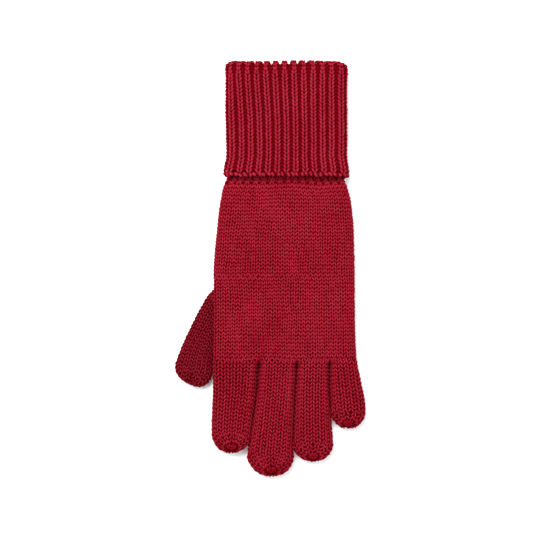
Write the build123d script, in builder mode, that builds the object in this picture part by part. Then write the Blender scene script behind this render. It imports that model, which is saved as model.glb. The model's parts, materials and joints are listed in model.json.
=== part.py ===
"""Left-hand knitted glove with a turned-up ribbed cuff, lying flat with its palm down.

Frame: +X towards the little finger, +Y towards the cuff, +Z up, in millimetres.
The origin is the middle of the palm's flat underside, on the surface that the glove lies on.

Each piece is knitted fabric with a real wall, open where a hand goes in. A finger is one
knitted tube. It is made here in two lengths, base and tip, which meet where the finger bends.
"""

import os
from math import atan2, cos, degrees, hypot, radians, sin, tan

from build123d import *

os.makedirs("parts", exist_ok=True)

# Fabric
knit_wall = 2.0  # plain knit
rib_wall = 2.4  # rib of the cuff
gap = 0.3  # between pieces that move against each other
overcut = 5.0  # how far a cutting shape runs past what it cuts
round_limit = 0.48  # the most that a rounding takes of a thickness

# Hand
hand_length = 121.4  # wrist to finger roots
hand_thick = 16.0
hand_round = 7.0  # rounding of the long edges
wrist_width = 76.0
wrist_shift = 1.1  # the wrist's middle, towards the little finger
wrist_flare = 27.0  # angle at which the sides leave the wrist, in degrees
shoulder_width = 91.0  # where the sides become nearly straight
shoulder_drop = 42.0  # from the wrist down to that place

# Fingers: width at the root, length and lean of the side next to the following finger
finger_thick = 13.0
finger_round = 6.0
fork_gap = 0.6  # space between two fingers
root_width = {"index": 30.1, "middle": 24.4, "ring": 21.2, "little": 17.3}
finger_length = {"index": 60.6, "middle": 76.0, "ring": 66.1, "little": 44.1}
far_side_lean = {"index": -7.3, "middle": -2.4, "ring": 2.2, "little": 10.5}
index_side_lean = 0.0  # lean of the index finger's free side
tip_share = 0.45  # radius of a tip's corners over its width
knuckle_share = {"index": 0.47, "middle": 0.47, "ring": 0.47, "little": 0.45}

# Thumb: a tube from a round root under the palm, slimmest where it passes the index finger
thumb_thick = 9.0
thumb_round = 4.0
thumb_root_radius = 13.0
thumb_root_inset = 11.1  # root centre, in from the hand's side
thumb_root_drop = 78.7  # root centre, down from the wrist
thumb_waist_radius = 9.9
thumb_tip_radius = 11.6
thumb_past_roots = 5.3  # tip centre, past the fingers' roots
thumb_clear = 1.3  # between the thumb and the index finger
thumb_swing = 40.0  # how far it swings out
thumb_knuckle = 27.0  # root centre to the bend
thumb_opening_radius = 7.0  # way from the hand into the thumb
join_band = 2.0  # width of the picked-up course round that opening

# Cuff
cuff_width = 79.5
cuff_length = 77.1
cuff_lift = 1.0  # the cast-on edge stands this far proud of the turned-up rib
cuff_round = 6.8
edge_length = 3.0
fold_length = 3.5
fold_round = 1.4
join_length = 2.5  # drawn-in course between hand and rib

# Small pieces
gather_radius = 2.5  # drawn-up stitches that close a fingertip
fork_width = 4.0
fork_depth = 4.0

finger_names = list(root_width)
wrist_y = hand_length / 2
root_y = -hand_length / 2
knuckle_width = sum(root_width.values()) + (len(finger_names) - 1) * fork_gap

# No edge is rounded by more than its own thickness allows.
hand_edge = min(hand_round, round_limit * hand_thick)
finger_edge = min(finger_round, round_limit * finger_thick)
thumb_edge = min(thumb_round, round_limit * thumb_thick)

# The thumb's tip and waist both stand thumb_clear off the index finger, at its side and at
# the corner of its root.
thumb_root_x = -knuckle_width / 2 + thumb_root_inset
thumb_root_y = wrist_y - thumb_root_drop
thumb_tip_y = root_y - thumb_past_roots
index_side = -knuckle_width / 2 - thumb_clear
thumb_tip_x = index_side - thumb_tip_radius
thumb_reach = hypot(thumb_tip_x - thumb_root_x, thumb_tip_y - thumb_root_y)
thumb_lean = degrees(atan2(thumb_root_x - thumb_tip_x, thumb_root_y - thumb_tip_y))
thumb_plane = Plane(
    origin=(thumb_root_x, thumb_root_y, 0),
    x_dir=(cos(radians(thumb_lean)), -sin(radians(thumb_lean)), 0),
    z_dir=(0, 0, 1),
)
index_corner = thumb_plane.to_local_coords((-knuckle_width / 2, root_y, 0))
thumb_waist = (index_corner.X - thumb_clear - thumb_waist_radius, index_corner.Y)


def round_edges(block, radius):
    """Rounds the long edges of a block's top and bottom, and leaves its open ends square."""
    flats = block.faces().filter_by(Axis.Z)
    edges = flats.sort_by(Axis.Z)[0].edges() + flats.sort_by(Axis.Z)[-1].edges()
    fillet(edges.filter_by(Axis.X, reverse=True), radius)


def hand_block(inset):
    """The hand's outer shape taken in by inset on all sides, longer than the hand at both ends."""
    flare = tan(radians(wrist_flare))
    side_lean = (knuckle_width - shoulder_width) / 2 / (hand_length - shoulder_drop)
    with BuildPart() as block:
        with BuildSketch(Plane.XY.offset(inset)):
            with BuildLine():
                sides = []
                for way in (1, -1):
                    wrist = way * (wrist_width / 2 - inset) + wrist_shift
                    shoulder = way * (shoulder_width / 2 - inset)
                    knuckle = way * (knuckle_width / 2 - inset)
                    top = (wrist - way * flare * overcut, wrist_y + overcut)
                    bottom = (knuckle + way * side_lean * overcut, root_y - overcut)
                    turn = (shoulder, wrist_y - shoulder_drop)
                    Line(top, (wrist, wrist_y))
                    Spline(
                        (wrist, wrist_y),
                        turn,
                        tangents=[(way * flare, -1), (way * side_lean, -1)],
                    )
                    Line(turn, bottom)
                    sides.append((top, bottom))
                Line(sides[0][0], sides[1][0])
                Line(sides[0][1], sides[1][1])
            make_face()
        extrude(amount=hand_thick - 2 * inset)
        round_edges(block, hand_edge - inset)
    return block.part


def side_x(name, along):
    """X of a finger's two sides at a distance along from its root, each half a fork_gap inside."""
    place = finger_names.index(name)
    start = -knuckle_width / 2 + sum(root_width[n] + fork_gap for n in finger_names[:place])
    lean = far_side_lean[finger_names[place - 1]] if place else index_side_lean
    left = start + along * tan(radians(lean))
    right = start + root_width[name] + along * tan(radians(far_side_lean[name]))
    return left, right


def finger_block(name, inset):
    """A finger's outer shape taken in by inset, from past its root to its rounded tip."""
    length = finger_length[name]
    near, far = side_x(name, -overcut), side_x(name, length - inset)
    corner = tip_share * (far[1] - far[0])
    with BuildPart() as block:
        with BuildSketch(Plane.XY.offset(inset)) as outline:
            with BuildLine():
                Polyline(
                    (near[0] + inset, root_y + overcut),
                    (far[0] + inset, root_y - length + inset),
                    (far[1] - inset, root_y - length + inset),
                    (near[1] - inset, root_y + overcut),
                    close=True,
                )
            make_face()
            fillet(outline.vertices().group_by(Axis.Y)[0], corner - inset)
        extrude(amount=finger_thick - 2 * inset)
        flats = block.faces().filter_by(Axis.Z)
        edges = flats.sort_by(Axis.Z)[0].edges() + flats.sort_by(Axis.Z)[-1].edges()
        fillet(edges.group_by(Axis.Y)[:-1], finger_edge - inset)
    return block.part


def thumb_block(inset):
    """The thumb's outer shape taken in by inset: hulls of its root, waist and tip circles."""
    with BuildPart() as block:
        with BuildSketch(thumb_plane.offset(inset)) as outline:
            with BuildSketch(mode=Mode.PRIVATE) as upper:
                Circle(thumb_root_radius - inset)
                with Locations(thumb_waist):
                    Circle(thumb_waist_radius - inset)
                make_hull()
            with BuildSketch(mode=Mode.PRIVATE) as lower:
                with Locations(thumb_waist):
                    Circle(thumb_waist_radius - inset)
                with Locations((0, -thumb_reach)):
                    Circle(thumb_tip_radius - inset)
                make_hull()
            add(upper.sketch)
            add(lower.sketch)
        extrude(amount=thumb_thick - 2 * inset)
        flats = block.faces().filter_by(Axis.Z)
        fillet(flats.edges(), thumb_edge - inset)
    return block.part


def thumb_room(grow):
    """The space under the palm that the thumb sweeps as it swings out, grown by grow."""
    waist_reach = hypot(*thumb_waist)
    waist_start = degrees(atan2(thumb_waist[1], thumb_waist[0])) - thumb_swing
    with BuildPart() as room:
        with BuildSketch(thumb_plane.offset(-overcut)):
            Circle(thumb_root_radius + grow)
            with PolarLocations(waist_reach, 2, waist_start, thumb_swing, endpoint=True):
                Circle(thumb_waist_radius + grow)
            with PolarLocations(thumb_reach, 2, -90 - thumb_swing, thumb_swing, endpoint=True):
                Circle(thumb_tip_radius + grow)
            make_hull()
        extrude(amount=overcut + thumb_thick + grow)
    return room.part


def cuff_tube(width, thick, rounding, start, length):
    """A solid pill-shaped block of the cuff, along +Y from start."""
    section = Plane(
        origin=(wrist_shift, start, cuff_middle), x_dir=(1, 0, 0), z_dir=(0, 1, 0)
    )
    with BuildPart() as tube:
        with BuildSketch(section):
            RectangleRounded(width, thick, rounding)
        extrude(amount=length)
    return tube.part


def slab(start, end):
    """A block across the whole glove from one Y to another."""
    with BuildPart(Plane.XY.offset(hand_thick / 2)) as block:
        with Locations((0, (start + end) / 2, 0)):
            Box(4 * knuckle_width, abs(end - start), 4 * hand_thick)
    return block.part


def thumb_slab(start, end):
    """A block across the thumb from one distance along it to another."""
    with BuildPart(thumb_plane) as block:
        with Locations((0, -(start + end) / 2, 0)):
            Box(4 * thumb_root_radius, end - start, 4 * thumb_thick)
    return block.part


def finish(part, name):
    part.label = name
    export_step(part, f"parts/{name}.step")


def make_tip(shell, cut, tip_plane, name):
    """The closed end of a finger's shell, and the drawn-up stitches in its very tip."""
    with BuildPart() as tip:
        add(shell)
        add(cut, mode=Mode.INTERSECT)
        with BuildSketch(tip_plane.offset(-knit_wall)):
            Circle(gather_radius)
        extrude(amount=2 * knit_wall, mode=Mode.SUBTRACT)
    finish(tip.part, f"{name}_tip")

    with BuildPart() as gather:
        with BuildSketch(tip_plane.offset(-knit_wall)):
            Circle(gather_radius)
        extrude(amount=knit_wall)
    finish(gather.part, f"{name}_gather")


# Hand

hand_cavity = hand_block(knit_wall)

with BuildPart() as thumb_pocket_wall:
    add(thumb_room(gap + knit_wall))

with BuildPart() as hand_tube:
    add(hand_block(0))
    add(slab(root_y, wrist_y), mode=Mode.INTERSECT)
    add(hand_cavity - thumb_pocket_wall.part, mode=Mode.SUBTRACT)
    add(thumb_room(gap), mode=Mode.SUBTRACT)
    with Locations((thumb_root_x, thumb_root_y, hand_thick / 2)):
        Cylinder(thumb_opening_radius + join_band, hand_thick - 2 * knit_wall, mode=Mode.SUBTRACT)
finish(hand_tube.part, "hand_tube")

with BuildPart() as thumb_join:
    with BuildSketch(Plane.XY.offset(thumb_thick + gap)):
        with Locations((thumb_root_x, thumb_root_y)):
            Circle(thumb_opening_radius + join_band)
            Circle(thumb_opening_radius, mode=Mode.SUBTRACT)
    extrude(amount=knit_wall)
finish(thumb_join.part, "thumb_join")

for left_name, right_name in zip(finger_names, finger_names[1:]):
    fork_x = side_x(left_name, 0)[1] + fork_gap / 2
    with BuildPart(Plane.XY.offset(knit_wall)) as fork:
        with Locations((fork_x, root_y + fork_depth / 2, 0)):
            Box(
                fork_width,
                fork_depth,
                hand_thick - 2 * knit_wall,
                align=(Align.CENTER, Align.CENTER, Align.MIN),
            )
        fillet(fork.edges().filter_by(Axis.Z).group_by(Axis.Y)[-1], fork_width / 3)
    finish(fork.part, f"fork_{left_name}_{right_name}")

# Cuff

cuff_middle = hand_thick / 2 + cuff_lift / 2
turnup_thick = hand_thick - cuff_lift
inner_width = cuff_width - 2 * (rib_wall + gap)
inner_thick = turnup_thick - 2 * (rib_wall + gap)
outer_round = min(cuff_round, round_limit * turnup_thick)
inner_round = outer_round - rib_wall - gap
mouth_width = inner_width - 2 * rib_wall
mouth_thick = inner_thick - 2 * rib_wall
mouth_round = inner_round - rib_wall
edge_y = wrist_y + gap
turnup_y = edge_y + edge_length
fold_y = edge_y + cuff_length - fold_length

with BuildPart() as wrist_join:
    add(hand_cavity)
    add(slab(wrist_y - join_length, wrist_y), mode=Mode.INTERSECT)
    add(
        cuff_tube(mouth_width, mouth_thick, mouth_round, wrist_y - hand_thick, 2 * hand_thick),
        mode=Mode.SUBTRACT,
    )
finish(wrist_join.part, "wrist_join")

with BuildPart() as cuff_inner_rib:
    inner_length = fold_y - gap - wrist_y
    add(cuff_tube(inner_width, inner_thick, inner_round, wrist_y, inner_length))
    add(
        cuff_tube(mouth_width, mouth_thick, mouth_round, wrist_y, inner_length),
        mode=Mode.SUBTRACT,
    )
finish(cuff_inner_rib.part, "cuff_inner_rib")

sleeve = cuff_tube(
    cuff_width - 2 * rib_wall,
    turnup_thick - 2 * rib_wall,
    outer_round - rib_wall,
    edge_y,
    cuff_length,
)

with BuildPart() as turnup_rib:
    add(cuff_tube(cuff_width, turnup_thick, outer_round, turnup_y, fold_y - turnup_y))
    add(sleeve, mode=Mode.SUBTRACT)
finish(turnup_rib.part, "turnup_rib")

with BuildPart() as turnup_edge:
    add(
        cuff_tube(
            cuff_width + 2 * cuff_lift,
            turnup_thick + 2 * cuff_lift,
            outer_round + cuff_lift,
            edge_y,
            edge_length,
        )
    )
    add(sleeve, mode=Mode.SUBTRACT)
finish(turnup_edge.part, "turnup_edge")

with BuildPart() as turnup_fold:
    add(cuff_tube(cuff_width, turnup_thick, outer_round, fold_y, fold_length))
    fillet(turnup_fold.faces().sort_by(Axis.Y)[-1].edges(), fold_round)
    add(
        cuff_tube(mouth_width, mouth_thick, mouth_round, fold_y, fold_length),
        mode=Mode.SUBTRACT,
    )
finish(turnup_fold.part, "turnup_fold")

# Fingers

for name in finger_names:
    length = finger_length[name]
    knuckle_y = root_y - knuckle_share[name] * length
    tip_y = root_y - length
    tip_plane = Plane(
        origin=(sum(side_x(name, length)) / 2, tip_y, finger_thick / 2),
        x_dir=(1, 0, 0),
        z_dir=(0, -1, 0),
    )
    shell = finger_block(name, 0) - finger_block(name, knit_wall)
    with BuildPart() as base:
        add(shell)
        add(slab(root_y - gap, knuckle_y), mode=Mode.INTERSECT)
    finish(base.part, f"{name}_base")
    make_tip(shell, slab(knuckle_y - gap, tip_y - overcut), tip_plane, name)

# Thumb

thumb_shell = thumb_block(0) - thumb_block(knit_wall)
thumb_tip_plane = Plane(
    origin=thumb_plane.from_local_coords((0, -thumb_reach - thumb_tip_radius, thumb_thick / 2)),
    x_dir=thumb_plane.x_dir,
    z_dir=-thumb_plane.y_dir,
)

with BuildPart() as thumb_base:
    add(thumb_shell)
    add(thumb_slab(-thumb_reach, thumb_knuckle), mode=Mode.INTERSECT)
    with BuildSketch(thumb_plane.offset(thumb_thick)):
        Circle(thumb_opening_radius)
    extrude(amount=-knit_wall, mode=Mode.SUBTRACT)
finish(thumb_base.part, "thumb_base")

make_tip(thumb_shell, thumb_slab(thumb_knuckle + gap, 2 * thumb_reach), thumb_tip_plane, "thumb")
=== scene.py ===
import json
from math import cos, pi, radians, sin

import bpy
import numpy as np
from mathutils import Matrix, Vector


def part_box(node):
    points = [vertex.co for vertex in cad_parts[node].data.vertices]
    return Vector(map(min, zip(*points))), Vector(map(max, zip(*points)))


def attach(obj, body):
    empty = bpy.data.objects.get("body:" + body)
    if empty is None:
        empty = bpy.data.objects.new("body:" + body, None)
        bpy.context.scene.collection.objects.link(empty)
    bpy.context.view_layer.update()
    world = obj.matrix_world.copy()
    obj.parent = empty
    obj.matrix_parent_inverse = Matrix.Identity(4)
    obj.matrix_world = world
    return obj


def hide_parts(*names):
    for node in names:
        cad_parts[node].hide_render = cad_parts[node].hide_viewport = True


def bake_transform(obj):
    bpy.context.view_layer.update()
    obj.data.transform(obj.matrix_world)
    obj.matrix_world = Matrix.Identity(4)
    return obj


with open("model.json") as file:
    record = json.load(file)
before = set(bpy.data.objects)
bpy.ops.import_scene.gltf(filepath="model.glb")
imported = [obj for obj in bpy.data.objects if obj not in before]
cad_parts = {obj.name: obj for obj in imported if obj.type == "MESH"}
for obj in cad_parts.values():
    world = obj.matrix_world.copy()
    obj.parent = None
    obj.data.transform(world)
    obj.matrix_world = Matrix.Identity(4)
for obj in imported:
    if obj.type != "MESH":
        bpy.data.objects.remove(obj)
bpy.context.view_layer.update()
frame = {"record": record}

mm = 0.001

joints = {joint["name"]: joint for joint in frame["record"]["behaviour"]["joints"]}


def boxMm(node):
    low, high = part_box(node)
    return np.array(low) / mm, np.array(high) / mm


def jointMm(name):
    return np.array(joints[name]["pos_m"]) / mm


handLow, handHigh = boxMm("hand_tube")
edgeLow = boxMm("turnup_edge")[0]
rootY, wristY = handLow[1], handHigh[1]
sideX = handHigh[0]  # the hand is centred on X = 0
handTop = handHigh[2]

# yarn and gauge in millimetres; swing, height and squeeze are in stitches
plainStitch = {
    "rowPitch": 2.44, "swing": 0.275, "height": 0.72, "depth": 0.60, "radius": 0.68,
    "ribDepth": 0.0, "squeeze": 0.0, "uneven": 0.50, "coil": 0.0,
}
ribStitch = {
    "rowPitch": 2.37, "swing": 0.34, "height": 0.74, "depth": 0.72, "radius": 0.84,
    "ribDepth": 0.62, "squeeze": 0.50, "uneven": 0.42, "coil": 0.0,
}
innerRibStitch = dict(ribStitch, depth=0.26, radius=0.60, ribDepth=0.42)
gatheredStitch = dict(plainStitch, ribDepth=0.10, squeeze=0.14, radius=0.88, depth=0.46)
edgeTwist = {
    "rowPitch": 2.37, "swing": 0.0, "height": 0.40, "depth": 0.0, "radius": 1.20,
    "ribDepth": 0.0, "squeeze": 0.0, "uneven": 1.9, "coil": 0.65,
}

yarn = {
    "pointsInStitch": 12, "sides": 5, "endSides": 7, "plies": 3, "pliesPerPoint": 0.52,
    "liningWall": 0.35, "fullPitch": 2.5,  # the yarn is at its full girth from this width of a stitch on
}


def ease(x, low, high):
    t = np.clip((x - low) / (high - low), 0, 1)
    return t * t * (3 - 2 * t)


def through(points, x, soft=3.0):
    # a gentle line through a few points (place, value), softened over some millimetres
    places, values = np.array(points, float).T
    order = np.argsort(places)
    places, values = places[order], values[order]
    return sum(np.interp(x + shift * soft, places, values) for shift in (-1, -0.5, 0, 0.5, 1)) / 5


def wobble(a, b, size, seed):
    # slow unevenness of hand-handled cloth
    picks = np.random.default_rng(seed)
    total = 0
    for turn in range(5):
        kx, ky = picks.uniform(-0.11, 0.11, 2)
        total = total + np.sin(kx * a + ky * b + picks.uniform(0, 2 * pi))
    return size * total / 3


def evenly(points, count):
    # the same line as count + 1 points, equally spaced along it
    steps = np.linalg.norm(np.diff(points, axis=0), axis=1)
    walked = np.concatenate([[0], np.cumsum(steps)])
    spots = np.linspace(0, walked[-1], count + 1)
    return np.stack([np.interp(spots, walked, points[:, k]) for k in range(points.shape[1])], axis=1)


def flatRing(left, right, topAt, lowAt, rounding, halfCount):
    # one ring of a tube that lies flat: over the top from left to right, and back underneath
    turn = np.linspace(-pi / 2, pi / 2, 161)
    half = (right - left) / 2
    x = (left + right) / 2 + half * np.sin(turn)
    inset = half * (1 - np.abs(np.sin(turn)))
    rise = np.sqrt(1 - np.clip(1 - inset / rounding, 0, 1) ** 2)
    top, low = topAt(x), lowAt(x)
    middle = (top + low) / 2
    upper = evenly(np.stack([x, middle + (top - middle) * rise], axis=1), halfCount)
    lower = evenly(np.stack([x, middle - (middle - low) * rise], axis=1)[::-1], halfCount)
    return np.concatenate([upper[:-1], lower[:-1]])


# a guide is an unseen surface that the stitches are laid on; its map starts a few rows before row 0
guideMap = {"rows": 160, "before": 4}


def link(obj):
    bpy.context.scene.collection.objects.link(obj)
    return obj


def ringNormals(rings):
    around = np.roll(rings, -1, axis=1) - np.roll(rings, 1, axis=1)
    onward = np.gradient(rings, axis=0)
    normals = np.cross(onward, around)
    return normals / np.maximum(np.linalg.norm(normals, axis=2, keepdims=True), 1e-9)


def gridFaces(ringCount, pointCount, start=0, flip=False):
    i = np.arange(ringCount - 1)[:, None] * pointCount
    j = np.arange(pointCount)[None, :]
    k = (j + 1) % pointCount
    quads = np.stack([i + j, i + k, i + pointCount + k, i + pointCount + j], axis=2)
    quads = quads.reshape(-1, 4) + start
    return quads[:, ::-1] if flip else quads


def makeGuide(name, rings, rowAt, full):
    # rings are in millimetres; each has a row number in rowAt and the yarn's fullness there in full
    ringCount, pointCount = rings.shape[:2]
    centre = rings.mean(axis=1, keepdims=True)
    normals = ringNormals(rings)
    inward = (normals[ringCount // 3] * (rings - centre)[ringCount // 3]).sum() < 0
    if inward:
        normals = -normals
    quads = gridFaces(ringCount, pointCount, flip=not inward)
    mesh = bpy.data.meshes.new(name)
    mesh.from_pydata((rings * mm).reshape(-1, 3).tolist(), [], quads.tolist())
    uv = mesh.uv_layers.new(name="stitches")
    vertexOf = np.array(quads).reshape(-1)
    across = vertexOf % pointCount / pointCount
    lastColumn = np.repeat(np.arange(len(quads)) % pointCount == pointCount - 1, 4)
    across[lastColumn & (across < 0.5)] = 1.0
    up = (np.asarray(rowAt)[vertexOf // pointCount] + guideMap["before"]) / guideMap["rows"]
    uv.data.foreach_set("uv", np.stack([across, up], axis=1).reshape(-1).astype(np.float32))
    out = mesh.attributes.new("out", "FLOAT_VECTOR", "POINT")
    out.data.foreach_set("vector", normals.reshape(-1).astype(np.float32))
    fullness = mesh.attributes.new("full", "FLOAT", "POINT")
    spread = np.broadcast_to(np.asarray(full, float)[:, None], (ringCount, pointCount))
    fullness.data.foreach_set("value", spread.reshape(-1).astype(np.float32))
    return link(bpy.data.objects.new(name, mesh)), normals


def makeLining(name, rings, normals, material, shift=-0.15):
    # the closed inner cloth behind the open loops, so that no light comes through; it stands for the yarn
    # behind and wears painted shade, as that yarn lies in shadow
    skip = 2  # every other point of the guide is enough for it
    rings = rings[:, ::skip]
    normals = normals[:, ::skip]
    keep = sorted(set(range(0, rings.shape[0], skip)) | {rings.shape[0] - 1})
    rings, normals = rings[keep], normals[keep]
    ringCount, pointCount = rings.shape[:2]
    outer = rings + normals * shift
    inner = rings + normals * (shift - yarn["liningWall"])
    points = np.concatenate([outer.reshape(-1, 3), inner.reshape(-1, 3)])
    size = ringCount * pointCount
    walls = [gridFaces(ringCount, pointCount), gridFaces(ringCount, pointCount, size, True)]
    j = np.arange(pointCount)
    k = (j + 1) % pointCount
    first = np.stack([j, j + size, k + size, k], axis=1)
    last = (ringCount - 1) * pointCount
    end = np.stack([j, k, k + size, j + size], axis=1) + last
    faces = np.concatenate(walls + [first, end])
    mesh = bpy.data.meshes.new(name)
    mesh.from_pydata((points * mm).tolist(), [], faces.tolist())
    mesh.materials.append(material)
    faceOutwards(mesh)
    mesh.polygons.foreach_set("use_smooth", [True] * len(mesh.polygons))
    return link(bpy.data.objects.new(name, mesh))


def signedVolume(mesh):
    points = np.zeros(len(mesh.vertices) * 3)
    mesh.vertices.foreach_get("co", points)
    points = points.reshape(-1, 3)
    mesh.calc_loop_triangles()
    corners = np.zeros(len(mesh.loop_triangles) * 3, dtype=np.int64)
    mesh.loop_triangles.foreach_get("vertices", corners)
    a, b, c = (points[corners.reshape(-1, 3)[:, n]] for n in range(3))
    return (a * np.cross(b, c)).sum() / 6


def faceOutwards(mesh):
    if signedVolume(mesh) < 0:
        mesh.flip_normals()


def nodeTools(tree):
    def put(value, socket):
        if isinstance(value, bpy.types.NodeSocket):
            tree.links.new(value, socket)
        else:
            socket.default_value = value

    def calc(operation, *values):
        node = tree.nodes.new("ShaderNodeMath")
        node.operation = operation
        for place, value in enumerate(values):
            put(value, node.inputs[place])
        return node.outputs[0]

    def vector(operation, *values, scale=None):
        node = tree.nodes.new("ShaderNodeVectorMath")
        node.operation = operation
        for place, value in enumerate(values):
            put(value, node.inputs[place])
        if scale is not None:
            put(scale, node.inputs["Scale"])
        return node.outputs["Value" if operation == "DOT_PRODUCT" else "Vector"]

    def node(kind, settings=None, **values):
        made = tree.nodes.new(kind)
        for key, value in (settings or {}).items():
            setattr(made, key, value)
        for key, value in values.items():
            put(value, made.inputs[key.replace("_", " ")])
        return made

    return put, calc, vector, node


def buildKnitTree():
    tree = bpy.data.node_groups.new("knitCourses", "GeometryNodeTree")
    tree.is_modifier = True
    face = tree.interface
    face.new_socket(name="Geometry", in_out="OUTPUT", socket_type="NodeSocketGeometry")
    face.new_socket(name="Guide", in_out="INPUT", socket_type="NodeSocketGeometry")
    for name, kind in (
        ("Columns", "Int"), ("Rows", "Int"), ("First Row", "Int"), ("Points In Stitch", "Int"),
        ("Sides", "Int"), ("Swing", "Float"), ("Height", "Float"), ("Depth", "Float"),
        ("Radius", "Float"), ("Rib Depth", "Float"), ("Squeeze", "Float"), ("Uneven", "Float"),
        ("Coil", "Float"), ("Seed", "Int"), ("Yarn", "Material"),
    ):
        face.new_socket(name=name, in_out="INPUT", socket_type="NodeSocket" + kind)
    put, calc, vector, node = nodeTools(tree)
    given = tree.nodes.new("NodeGroupInput").outputs
    result = tree.nodes.new("NodeGroupOutput")

    # one closed strand for each course
    count = calc("MULTIPLY", given["Columns"], given["Points In Stitch"])
    strand = node("GeometryNodeCurvePrimitiveCircle", {"mode": "RADIUS"}, Resolution=count, Radius=0.01)
    seats = node("GeometryNodeMeshLine", {"mode": "OFFSET"}, Count=given["Rows"])
    strands = node("GeometryNodeInstanceOnPoints", Points=seats.outputs["Mesh"],
                   Instance=strand.outputs["Curve"])
    real = node("GeometryNodeRealizeInstances", Geometry=strands.outputs["Instances"])
    place = node("GeometryNodeCurveOfPoint")
    column = calc("DIVIDE", place.outputs["Index in Curve"], given["Points In Stitch"])
    row = calc("ADD", place.outputs["Curve Index"], given["First Row"])

    # the loop: head up, legs to the front, foot down, in stitches across and along
    turn = calc("MULTIPLY", column, 2 * pi)
    double = calc("MULTIPLY", turn, 2.0)
    halfTurn = calc("MULTIPLY", column, pi)
    ribWave = calc("MULTIPLY", calc("COSINE", halfTurn), 1.7)  # cut off at 1, for flatter ribs and gutters
    squared = node("ShaderNodeClamp", Value=ribWave, Min=-1.0, Max=1.0).outputs[0]
    isRib = calc("GREATER_THAN", given["Squeeze"], 0.001)
    front = calc("ADD", calc("MULTIPLY", squared, isRib), calc("SUBTRACT", 1.0, isRib))
    across = calc("ADD", column, calc("MULTIPLY", given["Swing"], calc("SINE", double)))
    bunch = calc("DIVIDE", calc("MULTIPLY", given["Squeeze"], calc("SINE", halfTurn)), pi)
    across = calc("ADD", across, bunch)
    upward = calc("ADD", calc("ADD", row, 0.5), calc("MULTIPLY", given["Height"], calc("COSINE", turn)))
    legLift = calc("MULTIPLY", calc("MULTIPLY", given["Depth"], calc("COSINE", double)), -1.0)
    lift = calc("MULTIPLY", front, calc("ADD", given["Rib Depth"], legLift))
    lift = calc("ADD", lift, calc("MULTIPLY", given["Coil"], calc("SINE", turn)))

    # the same place on the guide surface
    u = calc("FRACT", calc("DIVIDE", across, given["Columns"]))
    v = calc("DIVIDE", calc("ADD", upward, float(guideMap["before"])), float(guideMap["rows"]))
    spot = node("ShaderNodeCombineXYZ", X=u, Y=v).outputs[0]

    def named(name, kind="FLOAT"):
        return node("GeometryNodeInputNamedAttribute", {"data_type": kind}, Name=name).outputs[0]

    uvMap = named("stitches", "FLOAT_VECTOR")

    def onGuide(value, kind="FLOAT_VECTOR"):
        sample = node("GeometryNodeSampleUVSurface", {"data_type": kind}, Mesh=given["Guide"], UV_Map=uvMap)
        put(value, sample.inputs["Value"])
        put(spot, sample.inputs["Sample UV"])
        return sample.outputs["Value"]

    base = onGuide(tree.nodes.new("GeometryNodeInputPosition").outputs[0])
    out = vector("NORMALIZE", onGuide(named("out", "FLOAT_VECTOR")))
    full = onGuide(named("full"), "FLOAT")
    shake = node("ShaderNodeTexNoise", {"noise_dimensions": "4D"}, Vector=base, Scale=330.0, Detail=1.0)
    put(calc("MULTIPLY", given["Seed"], 3.7), shake.inputs["W"])
    off = vector("SCALE", vector("SUBTRACT", shake.outputs["Color"], (0.5, 0.5, 0.5)),
                 scale=calc("MULTIPLY", given["Uneven"], 2 * mm))
    fullLift = calc("MULTIPLY", lift, full)
    lifted = vector("SCALE", out, scale=calc("MULTIPLY", fullLift, mm))
    spotOnYarn = vector("ADD", vector("ADD", base, lifted), off)
    placed = node("GeometryNodeSetPosition", Geometry=real.outputs["Geometry"], Position=spotOnYarn)

    def store(geometry, name, value, kind="FLOAT", domain="POINT"):
        keep = node("GeometryNodeStoreNamedAttribute", {"data_type": kind, "domain": domain},
                    Geometry=geometry, Name=name)
        put(value, keep.inputs["Value"])
        return keep.outputs["Geometry"]

    # every field is stored before the mesh is made, and read back after it
    line = store(placed.outputs["Geometry"], "yarnOut", out, "FLOAT_VECTOR")
    line = store(line, "yarnLift", fullLift)
    line = store(line, "yarnFull", full)
    line = store(line, "yarnAlong", calc("DIVIDE", place.outputs["Index in Curve"], count))
    line = store(line, "yarnRow", place.outputs["Curve Index"])
    ringOf = node("GeometryNodeCurvePrimitiveCircle", {"mode": "RADIUS"}, Resolution=given["Sides"])
    put(calc("MULTIPLY", given["Radius"], mm), ringOf.inputs["Radius"])
    ring = store(ringOf.outputs["Curve"], "yarnRound", node("GeometryNodeSplineParameter").outputs["Factor"])
    body = node("GeometryNodeCurveToMesh", Curve=line, Profile_Curve=ring, Scale=named("yarnFull"),
                Fill_Caps=False)

    # how far out each point stands, from the yarn's heart and the way it faces
    faceNormal = tree.nodes.new("GeometryNodeInputNormal").outputs[0]
    facing = vector("DOT_PRODUCT", faceNormal, named("yarnOut", "FLOAT_VECTOR"))
    stand = calc("MULTIPLY_ADD", facing, given["Radius"], named("yarnLift"))
    loopDepth = calc("ADD", given["Rib Depth"], given["Depth"])
    most = calc("ADD", loopDepth, calc("ADD", given["Coil"], given["Radius"]))
    stand = calc("DIVIDE", stand, most)  # 1 on the crown of a loop
    # stored as lift, it picks the wool's colour: painted shade low in the fabric, a painted highlight on the
    # crowns
    cloth = store(body.outputs["Mesh"], "lift", stand)

    def unwrapped(name):
        # a closed ring's last face gets 1 where its first point says 0
        value = named(name)
        average = node("GeometryNodeFieldOnDomain", {"data_type": "FLOAT", "domain": "FACE"})
        put(value, average.inputs[0])
        far = calc("GREATER_THAN", calc("ABSOLUTE", calc("SUBTRACT", value, average.outputs[0])), 0.3)
        early = calc("LESS_THAN", value, 0.4)
        return calc("ADD", value, calc("MULTIPLY", far, early))

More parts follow.
